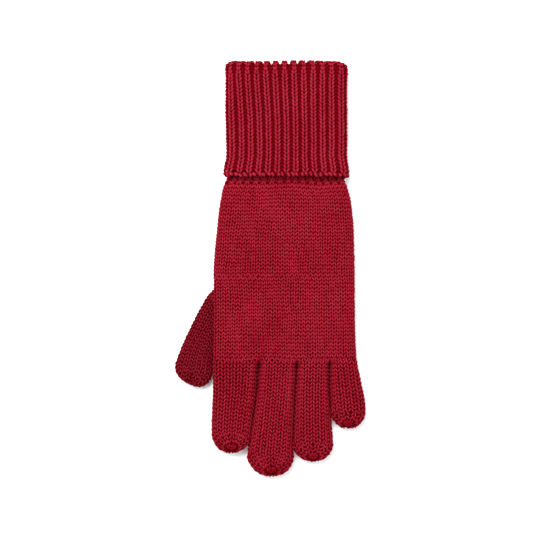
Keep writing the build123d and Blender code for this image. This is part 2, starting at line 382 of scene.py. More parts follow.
    alongYarn, roundYarn = unwrapped("yarnAlong"), unwrapped("yarnRound")
    inRow = calc("MULTIPLY_ADD", roundYarn, 0.9, 0.05)  # leaves a gap between the rows of the map
    rowShare = calc("DIVIDE", calc("ADD", named("yarnRow"), inRow), given["Rows"])
    laid = node("ShaderNodeCombineXYZ", X=alongYarn, Y=rowShare).outputs[0]
    cloth = store(cloth, "OFBake", laid, "FLOAT2", "CORNER")
    pliesAlong = calc("MULTIPLY", calc("MULTIPLY", alongYarn, count), yarn["pliesPerPoint"])
    phase = calc("MULTIPLY_ADD", roundYarn, float(yarn["plies"]), pliesAlong)
    cloth = store(cloth, "twist", phase, "FLOAT", "CORNER")
    smoothed = node("GeometryNodeSetShadeSmooth", Geometry=cloth)
    solid = node("GeometryNodeRealizeInstances", Geometry=smoothed.outputs["Geometry"])
    dyed = node("GeometryNodeSetMaterial", Geometry=solid.outputs["Geometry"])
    put(given["Yarn"], dyed.inputs["Material"])
    put(dyed.outputs["Geometry"], result.inputs["Geometry"])
    return tree


knitTree = buildKnitTree()
knitSockets = {item.name: item.identifier for item in knitTree.interface.items_tree if item.in_out == "INPUT"}
spareNames = ("yarnOut", "yarnLift", "yarnFull", "yarnAlong", "yarnRow", "yarnRound")
print("knitting tree:", len(knitTree.nodes), "nodes")


def knit(name, guide, columns, rows, firstRow, stitch, material, seed):
    # knits rows of closed courses over a guide surface and returns them as a plain mesh object
    maker = guide.modifiers.new("knit", "NODES")
    maker.node_group = knitTree
    settings = {
        "Columns": columns, "Rows": rows, "First Row": firstRow, "Points In Stitch": yarn["pointsInStitch"],
        "Sides": yarn["sides"], "Swing": stitch["swing"], "Height": stitch["height"],
        "Depth": stitch["depth"], "Radius": stitch["radius"], "Rib Depth": stitch["ribDepth"],
        "Squeeze": stitch["squeeze"], "Uneven": stitch["uneven"], "Coil": stitch["coil"],
        "Seed": seed, "Yarn": material,
    }
    for label, value in settings.items():
        maker[knitSockets[label]] = value
    ready = guide.evaluated_get(bpy.context.evaluated_depsgraph_get())
    mesh = bpy.data.meshes.new_from_object(ready)
    guide.modifiers.remove(maker)
    for spare in spareNames:
        if spare in mesh.attributes:
            mesh.attributes.remove(mesh.attributes[spare])
    faceOutwards(mesh)
    mesh.name = name
    return link(bpy.data.objects.new(name, mesh))


wool = {
    # colours: painted shade deep in the fabric, the wool's own colour on the flanks, and a painted highlight
    # on the crown of the loops
    "paintedShade": (0.058, 0.0000, 0.0008, 1),
    "middle": (0.150, 0.0009, 0.0052, 1),
    "paintedHighlight": (0.275, 0.0180, 0.0340, 1),
    # the thumb's wool is darkened by a share: painted shade for the hand's shadow that it lies in
    "thumbPaintedShadeShare": 0.66, "liningShades": (0.7, 0.9, 1.0),
    "roughness": 0.78, "sheen": 0.01, "sheenTint": (1.0, 0.35, 0.4, 1),
    "fleck": 0.30, "blotch": 0.16, "ply": 0.35, "fibre": 0.5,
}
tones = ("paintedShade", "middle", "paintedHighlight")


def woolMaterial(name, paintedShade, middle, paintedHighlight, ply=wool["ply"]):
    made = bpy.data.materials.new(name)
    made.use_nodes = True
    tree = made.node_tree
    put, calc, vector, node = nodeTools(tree)
    shader = tree.nodes["Principled BSDF"]
    shader.inputs["Roughness"].default_value = wool["roughness"]
    shader.inputs["Specular IOR Level"].default_value = 0.0
    shader.inputs["Sheen Weight"].default_value = wool["sheen"]
    shader.inputs["Sheen Roughness"].default_value = 0.5
    shader.inputs["Sheen Tint"].default_value = wool["sheenTint"]
    # the base colour is painted light: shade deep in the fabric and a highlight on the crowns of the loops,
    # picked by how far out the yarn stands; the noise adds random tone
    lift = node("ShaderNodeAttribute", {"attribute_name": "lift"}).outputs["Fac"]
    height = calc("MULTIPLY_ADD", lift, 0.78, 0.16)
    where = tree.nodes.new("ShaderNodeTexCoord").outputs["Object"]
    blotch = node("ShaderNodeTexNoise", Vector=where, Scale=42.0, Detail=2.0).outputs["Fac"]
    fleck = node("ShaderNodeTexNoise", Vector=where, Scale=420.0, Detail=2.0).outputs["Fac"]
    height = calc("ADD", height, calc("MULTIPLY_ADD", fleck, wool["fleck"], -wool["fleck"] / 2))
    height = calc("ADD", height, calc("MULTIPLY_ADD", blotch, wool["blotch"], -wool["blotch"] / 2))
    ramp = tree.nodes.new("ShaderNodeValToRGB")
    put(height, ramp.inputs["Fac"])
    ramp.color_ramp.elements[0].position = 0.15
    ramp.color_ramp.elements[0].color = paintedShade
    ramp.color_ramp.elements[1].position = 0.98
    ramp.color_ramp.elements[1].color = paintedHighlight
    ramp.color_ramp.elements.new(0.60).color = middle
    put(ramp.outputs["Color"], shader.inputs["Base Color"])
    twist = node("ShaderNodeAttribute", {"attribute_name": "twist"}).outputs["Fac"]
    strandWave = calc("ABSOLUTE", calc("SINE", calc("MULTIPLY", twist, pi)))
    fibre = node("ShaderNodeTexNoise", Vector=where, Scale=2600.0, Detail=3.0).outputs["Fac"]
    relief = calc("ADD", calc("MULTIPLY", strandWave, ply), calc("MULTIPLY", fibre, wool["fibre"]))
    bump = node("ShaderNodeBump", Height=relief, Strength=0.55, Distance=0.25 * mm)
    put(bump.outputs["Normal"], shader.inputs["Normal"])
    return made


def shaded(color, share):
    return tuple(part * share for part in color[:3]) + (1,)


crimson = woolMaterial("crimsonWool", *(wool[tone] for tone in tones))
# a darker copy of the wool, painted shade for the thumb beside the hand
thumbPaintedShadeWool = woolMaterial("thumbPaintedShadeWool", *(shaded(wool[tone], wool["thumbPaintedShadeShare"]) for tone in tones))
# the lining wears painted shade: shares of the deep colour, darker still
liningTones = [shaded(wool["paintedShade"], share) for share in wool["liningShades"]]
liningPaintedShadeWool = woolMaterial("liningPaintedShadeWool", *liningTones, ply=0.0)
print("wool: three shades")


def finish(obj, body, slot, *nodes, blendFrom=None, start=None, end=None):
    # rides a piece on its body, or, given blendFrom, bakes its place into the mesh; then hides the parts that
    # it stands for
    if blendFrom:
        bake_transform(obj)
    else:
        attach(obj, body)
    if nodes:
        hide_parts(*nodes)
    return obj


crest = plainStitch["depth"] + plainStitch["radius"] - 0.05  # from a plain guide surface to its crown
ribCrest = ribStitch["ribDepth"] + ribStitch["depth"] + ribStitch["radius"] - 0.1

gather = {
    "puffs": 9, "inner": 0.6, "outer": 3.6, "thick": 0.78, "rise": 1.1, "sink": 0.5,
    "bend": 0.7, "lift": 0.64,  # lift only picks a place for the wool's colour on its ramp from painted shade to painted highlight
}


def yarnPieces(name, strands, thick, material, lift):
    # short ends of yarn as closed, tapering tubes
    sides = yarn["endSides"]
    points, faces = [], []
    for strand in strands:
        strand = np.asarray(strand, float)
        along = np.gradient(strand, axis=0)
        along /= np.linalg.norm(along, axis=1, keepdims=True)
        side = np.cross(along, (0.13, 0.21, 0.97))
        side /= np.maximum(np.linalg.norm(side, axis=1, keepdims=True), 1e-6)
        over = np.cross(side, along)
        share = np.linspace(0, 1, len(strand))
        girth = thick * np.sqrt(np.clip(1 - np.abs(2 * share - 1) ** 6, 0.06, 1))
        start = len(points)
        points.append(strand[0] - along[0] * thick * 0.3)
        for place in range(len(strand)):
            for step in range(sides):
                turn = 2 * pi * step / sides
                outward = side[place] * cos(turn) + over[place] * sin(turn)
                points.append(strand[place] + girth[place] * outward)
        points.append(strand[-1] + along[-1] * thick * 0.3)
        last = len(points) - 1
        for step in range(sides):
            after = (step + 1) % sides
            faces.append((start, start + 1 + after, start + 1 + step))
            for place in range(len(strand) - 1):
                a, b = start + 1 + place * sides, start + 1 + (place + 1) * sides
                faces.append((a + step, a + after, b + after, b + step))
            faces.append((last, last - sides + step, last - sides + after))
    mesh = bpy.data.meshes.new(name)
    mesh.from_pydata([tuple(np.array(point) * mm) for point in points], [], faces)
    mesh.materials.append(material)
    faceOutwards(mesh)
    mesh.polygons.foreach_set("use_smooth", [True] * len(mesh.polygons))
    # a fixed lift sets one place on the wool's ramp from painted shade to painted highlight
    for label, value in (("lift", lift), ("twist", 0.0)):
        kept = mesh.attributes.new(label, "FLOAT", "POINT")
        kept.data.foreach_set("value", [value] * len(mesh.vertices))
    return link(bpy.data.objects.new(name, mesh))


def makeGather(name, place, along, tilt, seed, material):
    # the yarn end drawn through the last loops: small puffs round a sunk middle
    along = np.array(along, float)
    up = np.array([0, 0, 1.0])
    facing = along * cos(tilt) + up * sin(tilt)
    side = np.cross(facing, along + up)
    side /= np.linalg.norm(side)
    over = np.cross(side, facing)
    picks = np.random.default_rng(seed)
    strands = []
    for puff in range(gather["puffs"]):
        turn = 2 * pi * (puff + picks.uniform(-0.2, 0.2)) / gather["puffs"]
        steps = np.linspace(0, 1, 7)
        radius = gather["inner"] + (gather["outer"] - gather["inner"]) * steps
        bent = turn + gather["bend"] * steps
        high = gather["rise"] * np.sin(pi * steps) - gather["sink"]
        sideways, onward = np.cos(bent) * radius, np.sin(bent) * radius
        strands.append(place + sideways[:, None] * side + onward[:, None] * over + high[:, None] * facing)
    return yarnPieces(name, strands, gather["thick"], material, gather["lift"])


# sides: (distance from the root, left edge, right edge) in X; neighbours touch
fingers = {
    "index": {
        "sides": ((0, -47.8, -16.5), (20, -47.8, -17.8), (41, -48.6, -20.7), (62, -48.2, -23.4)),
        "columns": 18, "cap": 15.0, "seed": 3, "slots": (0, 1.0),
    },
    "middle": {
        "sides": ((0, -17.3, 8.7), (22, -19.1, 7.4), (46, -22.3, 6.5), (62, -24.9, 6.0), (78, -22.8, 6.0)),
        "columns": 18, "cap": 15.5, "seed": 4, "slots": (1.0, 0.9),
    },
    "ring": {
        "sides": ((0, 8.1, 30.1), (22, 6.7, 30.3), (40, 5.8, 31.2), (54, 5.4, 32.6), (67, 6.2, 32.6)),
        "columns": 16, "cap": 13.5, "seed": 5, "slots": (0.9, 0.6),
    },
    "little": {
        "sides": ((0, 29.6, 48.2), (12, 29.6, 50.9), (24, 29.6, 53.4), (32, 30.0, 54.2), (46, 31.2, 54.2)),
        "columns": 14, "cap": 12.2, "seed": 6, "slots": (0.6, 0),
    },
}
fingerShape = {
    "rootHigh": 15.2, "high": 13.8, "rootLong": 22,
    "rootRound": 3.0, "tipRound": 6.0, "roundFrom": 20, "roundTo": 56.0,
    "poleTilt": radians(38), "dimple": 0.11, "extra": 1.4, "tipRows": 2,
    "tuckIn": 0.3, "lap": 0.3,  # how far the first row goes under the hand, and over it
    "slot": 2.3, "widest": 0.36, "overlap": 0.95,  # the furrow between two fingers that touch
}


def sidesAt(shape, s):
    left = through([(a, l) for a, l, r in shape["sides"]], s, 2.5)
    right = through([(a, r) for a, l, r in shape["sides"]], s, 2.5)
    return left, right


def fingerHighAt(s):
    s = np.array(s)
    tuck = fingerShape["tuckIn"] * ease(-s, 0, 2.2)  # the first loops go under the hand's last row
    root = 1 - ease(s, 0, fingerShape["rootLong"])
    return fingerShape["high"] + (fingerShape["rootHigh"] - fingerShape["high"]) * root - tuck


def closedTube(shape, start, lowAt, highAt, roundAt):
    # a tube that lies flat and closes at its far end, as (across, along, height)
    # the closing point is on the upper side, and every column is shared out evenly in rows
    columns, flat = shape["columns"], shape["length"] - shape["cap"]
    slots, widest = shape["slots"], fingerShape["widest"]
    slices = []
    for s in np.linspace(start, flat, 44):
        left, right = sidesAt(shape, s)
        left = left + crest - fingerShape["overlap"] * slots[0]
        right = right - crest + fingerShape["overlap"] * slots[1]
        low, high = lowAt(s) + crest, highAt(s) - crest
        rounding = min(roundAt(s), (right - left) / 2)
        sway = wobble(s, 11.0 * shape["seed"], 0.25, shape["seed"])
        ring = flatRing(left + sway, right + sway, lambda x: high + 0 * x, lambda x: low + 0 * x,
                        rounding, columns)
        # above its widest level a finger draws back from its neighbour, most of all near the root
        level = low * (1 - widest) + high * widest
        raised = np.clip((ring[:, 1] - level) / ((high - low) * (1 - widest)), 0, 1)
        draw = fingerShape["slot"] * ease(np.array(s), -1.0, 3.0) * (1 - 0.35 * ease(np.array(s), 14, 46))
        middle, wide = (left + right) / 2, right - left
        aside = ease(np.abs(ring[:, 0] - middle), wide * 0.3, wide * 0.46)
        side = np.where(ring[:, 0] < middle, slots[0], -slots[1])
        ring[:, 0] += side * draw * raised ** 0.3 * aside
        slices.append(np.stack([ring[:, 0], np.full(len(ring), s), ring[:, 1]], axis=1))
    half, tall = (right - left) / 2, (high - low) / 2
    middle, level = (right + left) / 2 + sway, (high + low) / 2
    sideways, upward = (slices[-1][:, 0] - middle) / half, (slices[-1][:, 2] - level) / tall
    way = np.stack([sideways, 0 * sideways, upward], axis=1)
    way /= np.linalg.norm(way, axis=1, keepdims=True)
    tilt = shape.get("poleTilt", fingerShape["poleTilt"])
    pole = np.array([0, cos(tilt), sin(tilt)])
    reach = shape["cap"] - crest
    flatMiddle = sum(sidesAt(shape, flat)) / 2
    for turn in np.linspace(0, radians(86), 30)[1:]:
        q = way * cos(turn) + pole * sin(turn)
        q /= np.linalg.norm(q, axis=1, keepdims=True)
        q = q * (1 - fingerShape["dimple"] * np.exp(-((radians(90) - turn) / 0.32) ** 2))
        drift = np.array([sum(sidesAt(shape, flat + reach * y)) / 2 for y in q[:, 1]]) - flatMiddle
        across = middle + drift + half * q[:, 0]
        slices.append(np.stack([across, flat + reach * q[:, 1], level + tall * q[:, 2]], axis=1))
    slices = np.array(slices)
    tip = slices[-1].mean(axis=0)
    walk = np.linalg.norm(np.diff(slices, axis=0), axis=2).sum(axis=0).min()
    rows = int(round(walk / plainStitch["rowPitch"]))
    rings = np.stack([evenly(slices[:, k], rows * 2) for k in range(slices.shape[1])], axis=1)
    return rings, rows, tip


def fullness(rings):
    # the yarn thins where the stitches crowd together; the last rows have a third fewer stitches
    around = np.linalg.norm(rings - np.roll(rings, 1, axis=1), axis=2).sum(axis=1)
    pitch = around / (rings.shape[1] / 2)
    pitch[-2 * fingerShape["tipRows"]:] *= 1.5
    return np.clip(pitch / yarn["fullPitch"], 0.35, 1.0) ** 0.6


def lobeTop(x):
    # top of the fingers' roots across the whole hand, dipping at the forks
    level, tall = fingerHighAt(0.0) / 2, fingerHighAt(0.0) / 2 - crest
    top = np.full_like(x, level)
    for shape in fingers.values():
        left, right = sidesAt(shape, 0.0)
        inset = (right - left) / 2 - np.abs(x - (left + right) / 2)
        rise = np.sqrt(1 - np.clip(1 - inset / fingerShape["rootRound"], 0, 1) ** 2)
        top = np.where(inset > 0, level + tall * rise, top)
    return top


def makeFinger(name):
    shape = fingers[name]
    bend, curl = jointMm(f"{name}_bend"), jointMm(f"{name}_curl")
    shape["length"] = rootY - boxMm(f"{name}_gather")[0][1] + fingerShape["extra"]
    pitch = plainStitch["rowPitch"]

    def roundAt(s):
        ending = ease(np.array(s), fingerShape["roundFrom"], fingerShape["roundTo"])
        return fingerShape["rootRound"] + fingerShape["tipRound"] * ending

    rings, rows, tip = closedTube(shape, -pitch, lambda s: 0.0, fingerHighAt, roundAt)
    rings = np.stack([rings[:, :, 0], rootY - rings[:, :, 1], rings[:, :, 2]], axis=2)
    rows -= 2  # one row of the guide is spare at each end
    rowAt = np.arange(rings.shape[0]) * 0.5 - 1.0 + fingerShape["lap"]
    guide, normals = makeGuide(f"{name}Guide", rings, rowAt, fullness(rings))
    split = max(4, int(round((abs(curl[1] - rootY) + 2.5) / 2 / pitch)))
    columns, seed, tipRows = shape["columns"], shape["seed"], fingerShape["tipRows"]
    base = knit(f"{name}_courses", guide, columns, split, 0, plainStitch, crimson, seed)
    end = knit(f"{name}_end_courses", guide, columns, rows - split - tipRows, split,
               plainStitch, crimson, seed)
    drawn = knit(f"{name}_last_courses", guide, columns * 2 // 3, tipRows, rows - tipRows,
                 plainStitch, crimson, seed)
    cut = int(np.searchsorted(rowAt, split)) + 1
    liningBase = makeLining(f"{name}_lining", rings[:cut], normals[:cut], liningPaintedShadeWool)
    liningEnd = makeLining(f"{name}_end_lining", rings[cut - 1:], normals[cut - 1:], liningPaintedShadeWool)
    for piece in (base, liningBase):
        finish(piece, f"{name}_root", "plain_knit", f"{name}_base", blendFrom="hand",
               start=(bend * (1, 1, 0) + (0, 0.6, 0)) * mm, end=(bend * (1, 1, 0) - (0, 9.0, 0)) * mm)
    for piece in (end, drawn, liningEnd):
        finish(piece, f"{name}_end", "plain_knit", f"{name}_tip", blendFrom=f"{name}_root",
               start=(curl + (0, 6.5, 0)) * mm, end=(curl - (0, 6.5, 0)) * mm)
    bpy.data.objects.remove(guide)
    close = np.array([tip[0], rootY - tip[1], tip[2]])
    knot = makeGather(f"{name}_drawn_end", close, (0, -1, 0), fingerShape["poleTilt"], seed, crimson)
    finish(knot, f"{name}_end", "gathers", f"{name}_gather")
    print(name, "finger:", rows, "rows of", columns)


hand = {
    "columns": 62, "rows": 50, "seed": 1, "rounding": 8.5, "dome": 0.5,
    "slope": 0.25, "slopeLength": 13.0,  # down to the wrist
    "drop": 0.62, "dropFrom": 7.0, "dropTo": 1.2,  # under the turn-up's edge
    "gathered": 2, "pucker": 0.3, "puckerLength": 9.0,
    # (share of the way from the roots to the wrist, share of half the width) for each side
    "left": ((0.0, 1.0), (0.45, 0.99), (0.66, 0.955), (0.85, 0.905), (0.94, 0.86), (1.0, 0.80), (1.06, 0.78)),
    "right": ((0.0, 1.0), (0.1, 0.985), (0.5, 0.97), (0.75, 0.955), (0.88, 0.925), (1.0, 0.83), (1.06, 0.80)),
}
thumbBase = jointMm("thumb_swing")
thumbHigh = boxMm("thumb_base")[1][2]
thumbAxis = np.array(joints["thumb_curl"]["axis"][:2])
thumbWay = np.array([thumbAxis[1], -thumbAxis[0]])  # from the root to the tip
swingMost = radians(joints["thumb_swing"]["range_deg"][1])
# places along the thumb, and half the width of the room that it needs there
thumbRoom = {"along": (0, 40, 52), "half": (13.2, 11.2, 12.0), "steps": 9, "edge": 5.5, "above": 0.6}


def thumbRoomAt(x, y):
    # distance from the room that the thumb sweeps under the palm, negative inside it
    x = np.asarray(x, float)
    q = np.stack([x - thumbBase[0], np.full_like(x, y) - thumbBase[1]], axis=-1)
    nearest = np.full(q.shape[:-1], 1e6)
    for turn in np.linspace(0, swingMost, thumbRoom["steps"]):
        way = np.array([thumbWay[0] * cos(turn) + thumbWay[1] * sin(turn),
                        -thumbWay[0] * sin(turn) + thumbWay[1] * cos(turn)])
        reach = np.clip(q @ way, 0, thumbRoom["along"][-1])
        gone = np.linalg.norm(q - reach[..., None] * way, axis=-1)
        nearest = np.minimum(nearest, gone - np.interp(reach, thumbRoom["along"], thumbRoom["half"]))
    return nearest


def makeHand():
    span = wristY - rootY
    columns, rows = hand["columns"], hand["rows"]
    rowPitch = span / rows
    rowAt = np.arange(-4.0, rows + 1.6, 0.5)
    rings = []
    for row in rowAt:
        y = wristY - row * rowPitch
        share = (y - rootY) / span
        left = -sideX * through(hand["left"], share, 0.03) + crest - 0.4 + wobble(y, 3.0, 0.35, 21)
        right = sideX * through(hand["right"], share, 0.03) - crest + 0.6 + wobble(y, 9.0, 0.35, 22)
        # it slopes down to the wrist, and drops off just under the turn-up's edge
        flatten = 1 - ease(np.array(y), wristY - hand["slopeLength"], wristY + 1.0) * hand["slope"]
        dropFrom, dropTo = edgeLow[1] - hand["dropFrom"], edgeLow[1] - hand["dropTo"]
        flatten = flatten - ease(np.array(y), dropFrom, dropTo) * hand["drop"]
        lobes = ease(np.array(rootY + 4.0 - y), 0.0, 4.0) ** 1.4

        def topAt(x):
            dome = hand["dome"] * (x / sideX) ** 2
            top = handTop / 2 + (handTop / 2 - crest - dome) * flatten + wobble(x, y, 0.28, 23)
            return top + (lobeTop(x) - top) * lobes

        def lowAt(x):
            room = 1 - ease(thumbRoomAt(x, y), 0.2, thumbRoom["edge"])
            low = handTop / 2 - (handTop / 2 - crest) * flatten
            low = low + (thumbHigh + thumbRoom["above"] + crest - low) * room
            lobeLow = np.maximum(fingerHighAt(0.0) - lobeTop(x), low * room)
            return low + (lobeLow - low) * lobes

        ring = flatRing(left, right, topAt, lowAt, hand["rounding"], columns)
        # the first rows are drawn together in pairs where the rib ends
        pucker = ease(np.array(y), wristY - hand["puckerLength"], wristY - 4.0) * hand["pucker"]
        middle = ring.mean(axis=0)
        pair = 2 * pi * np.arange(len(ring)) / 4
        ring[:, 1] += np.sign(ring[:, 1] - middle[1]) * pucker * np.cos(pair)
        ring[:, 0] -= 0.55 * pucker * np.sign(ring[:, 1] - middle[1]) * np.sin(pair)
        spots = y + wobble(ring[:, 0] * 2, y * 2, 0.5, 24)
        inside = 1 - ease(np.abs(ring[:, 0]) / sideX, 0.75, 0.95)
        ring[:, 0] += wobble(ring[:, 0] * 3, y * 2, 0.5, 25) * inside
        rings.append(np.stack([ring[:, 0], spots, ring[:, 1]], axis=1))
    rings = np.array(rings)
    guide, normals = makeGuide("handGuide", rings, rowAt, np.ones(len(rowAt)))
    half, gathered, seed = rows // 2, hand["gathered"], hand["seed"]
    wrist = knit("wrist_gathered_courses", guide, columns, 2, -2, gatheredStitch, crimson, seed)
    first = knit("hand_first_courses", guide, columns, gathered, 0, gatheredStitch, crimson, seed)
    upper = knit("hand_upper_courses", guide, columns, half - gathered, gathered, plainStitch, crimson, seed)
    lower = knit("hand_lower_courses", guide, columns, rows - half, half, plainStitch, crimson, seed)
    lining = makeLining("hand_lining", rings[3:-3], normals[3:-3], liningPaintedShadeWool)
    for piece in (first, upper, lower, lining):
        finish(piece, "hand", "plain_knit", "hand_tube")
    finish(wrist, "hand", "plain_knit", "wrist_join")
    bpy.data.objects.remove(guide)
    print("hand:", rows, "rows of", columns)


fork = {
    # lift sets the strands' place on the wool's ramp from painted shade to painted highlight
    "strands": 6, "thick": 0.78, "reach": 3.2, "width": 1.9, "above": 1.3, "bow": 0.3, "lift": 0.6, "seed": 17,
}


def makeForks():
    # a few stitches picked up round each crotch, from the back of the hand to the palm
    names = list(fingers)
    picks = np.random.default_rng(fork["seed"])
    for near, far in zip(names, names[1:]):
        spot = (sidesAt(fingers[near], 0.0)[1] + sidesAt(fingers[far], 0.0)[0]) / 2
        strands = []
        for z in np.linspace(1.6, fingerHighAt(0.0) - 1.0, fork["strands"]):
            turn = np.linspace(-0.5 * pi, 0.5 * pi, 9)
            x = spot + fork["width"] * np.sin(turn) + picks.uniform(-0.2, 0.2)
            y = rootY + fork["above"] - fork["reach"] * (1 - np.cos(turn)) + picks.uniform(-0.25, 0.25)
            outward = (z - fingerHighAt(0.0) / 2) / (fingerHighAt(0.0) / 2)
            high = z + fork["bow"] * outward * (1 - np.cos(turn))
            strands.append(np.stack([x, y, high], axis=1))
        piece = yarnPieces(f"fork_stitches_{near}_{far}", strands, fork["thick"], crimson, fork["lift"])
        finish(piece, "hand", "plain_knit", f"fork_{near}_{far}")
    print("forks:", fork["strands"], "stitches each")


thumb = {
    # (distance along the thumb, outer edge, inner edge) across it
    "sides": ((-4, -12.8, 11.4), (6, -13.8, 12.2), (22, -14.6, 12.0),
              (42, -14.5, 9.4), (52, -13.6, 13.8), (68, -12.6, 15.2)),
    "columns": 16, "cap": 10.4, "length": 65.2, "seed": 8, "slots": (0, 0),
    "poleTilt": radians(8), "rounding": 8.0,
    # the root: a ring under the palm that turns upright over a few rows
    "turnRows": 5, "upright": 6.0, "joinHigh": 1.0, "joinLong": 17.0, "joinAlong": 7.5, "joinFat": 0.86,
}


def makeThumb():
    pitch, count = plainStitch["rowPitch"], thumb["columns"]
    straight, straightRows, tip = closedTube(
        thumb, thumb["upright"], lambda s: 0.0, lambda s: thumbHigh, lambda s: thumb["rounding"])
    first = straight[0]
    low, high = first[:, 2].min(), first[:, 2].max()
    middle, half = first[:, 0].mean(), (first[:, 0].max() - first[:, 0].min()) / 2
    # the root turns from a level ring under the palm to an upright one
    fromFront = (high - first[:, 2]) / (high - low)
    spread = np.sign(first[:, 0] - middle) * half * np.sqrt(np.clip(1 - (1 - 2 * fromFront) ** 2, 0, 1))
    turning = []
    for row in np.arange(-1.0, thumb["turnRows"], 0.5):
        t = max(row, 0.0) / thumb["turnRows"]
        long = thumb["joinLong"] + (high - low - thumb["joinLong"]) * t ** 0.75
        fat = thumb["joinFat"] + (1 - thumb["joinFat"]) * t ** 0.5
        across = middle * t + ((first[:, 0] - middle) * t + spread * (1 - t)) * fat
        front = thumb["joinAlong"] + (thumb["upright"] - thumb["joinAlong"]) * t
        along = front - fromFront * long * cos(t * pi / 2)
        top = (thumbHigh + thumb["joinHigh"]) * (1 - t) + high * t - min(row, 0) * 1.5
        height = np.maximum(top - fromFront * long * sin(t * pi / 2), low)
        turning.append(np.stack([across, along, height], axis=1))
    local = np.concatenate([turning, straight])
    flat = thumbBase[:2] + local[:, :, 1:2] * thumbWay + local[:, :, 0:1] * thumbAxis
    rings = np.concatenate([flat, local[:, :, 2:3]], axis=2)
    rowAt = np.arange(len(rings)) * 0.5 - 1.0
    rows = thumb["turnRows"] + straightRows - 1
    guide, normals = makeGuide("thumbGuide", rings, rowAt, fullness(rings))
    curl = jointMm("thumb_curl")
    curlAlong = (curl[:2] - thumbBase[:2]) @ thumbWay
    split = thumb["turnRows"] + int(round((curlAlong - 8.5 - thumb["upright"]) / pitch))
    seed, tipRows = thumb["seed"], fingerShape["tipRows"]
    join = knit("thumb_picked_up_course", guide, count, 1, 0, plainStitch, thumbPaintedShadeWool, seed)
    base = knit("thumb_courses", guide, count, split - 1, 1, plainStitch, thumbPaintedShadeWool, seed)
    end = knit("thumb_end_courses", guide, count, rows - split - tipRows, split,
               plainStitch, thumbPaintedShadeWool, seed)
    drawn = knit("thumb_last_courses", guide, count * 2 // 3, tipRows, rows - tipRows,
                 plainStitch, thumbPaintedShadeWool, seed)
    cut = int(np.searchsorted(rowAt, split)) + 1
    liningBase = makeLining("thumb_lining", rings[3:cut], normals[3:cut], liningPaintedShadeWool)
    liningEnd = makeLining("thumb_end_lining", rings[cut - 1:], normals[cut - 1:], liningPaintedShadeWool)
    way = np.array([thumbWay[0], thumbWay[1], 0])
    finish(join, "hand", "thumb_knit", "thumb_join")
    for piece in (base, liningBase):
        finish(piece, "thumb_root", "thumb_knit", "thumb_base")
    for piece in (end, drawn, liningEnd):
        finish(piece, "thumb_end", "thumb_knit", "thumb_tip", blendFrom="thumb_root",
               start=(curl - way * 7.0) * mm, end=(curl + way * 7.0) * mm)
    bpy.data.objects.remove(guide)
    close = np.append(thumbBase[:2] + tip[1] * thumbWay + tip[0] * thumbAxis, tip[2])
    knot = makeGather("thumb_drawn_end", close, way, thumb["poleTilt"], seed, thumbPaintedShadeWool)
    finish(knot, "thumb_end", "gathers", "thumb_gather")
    print("thumb:", rows, "rows of", count)


cuff = {
    "columns": 56, "flare": 1.7, "flareLength": 12.0, "foldInset": 4.6, "rounding": 7.0, "edgeUp": 3.0,
    "lean": 2.2, "leanFrom": 96, "leanAcross": (-28.0, 18.0),
    "foldRows": 4, "outerRoll": 0.6,  # the fold's outer loops go round a longer way
    "scallop": 1.2, "scallopLength": 3.0, "pinch": 0.85, "pinchLength": 6.0, "under": 3.2, "underLength": 9.0,
    "seed": 12, "waverSeed": 31, "innerSeed": 14, "innerWaverSeed": 41,
}
foldLow, foldHigh = boxMm("turnup_fold")
cuffMiddleX = (foldLow[0] + foldHigh[0]) / 2
cuffMiddleZ = (foldLow[2] + foldHigh[2]) / 2


def cuffRing(y, inset, widen, seed):
    half = (foldHigh[0] - foldLow[0]) / 2 - inset + widen
    tall = (foldHigh[2] - foldLow[2]) / 2 - inset + widen * 0.45
    left = cuffMiddleX - half - 0.6 - wobble(y, 4.0, 0.3, seed)
    right = cuffMiddleX + half + 1.0 + wobble(y, 8.0, 0.3, seed + 1)
    return flatRing(left, right, lambda x: cuffMiddleZ + tall + wobble(x, y, 0.16, seed + 2),
                    lambda x: cuffMiddleZ - tall + 0 * x, min(cuff["rounding"], tall), cuff["columns"])


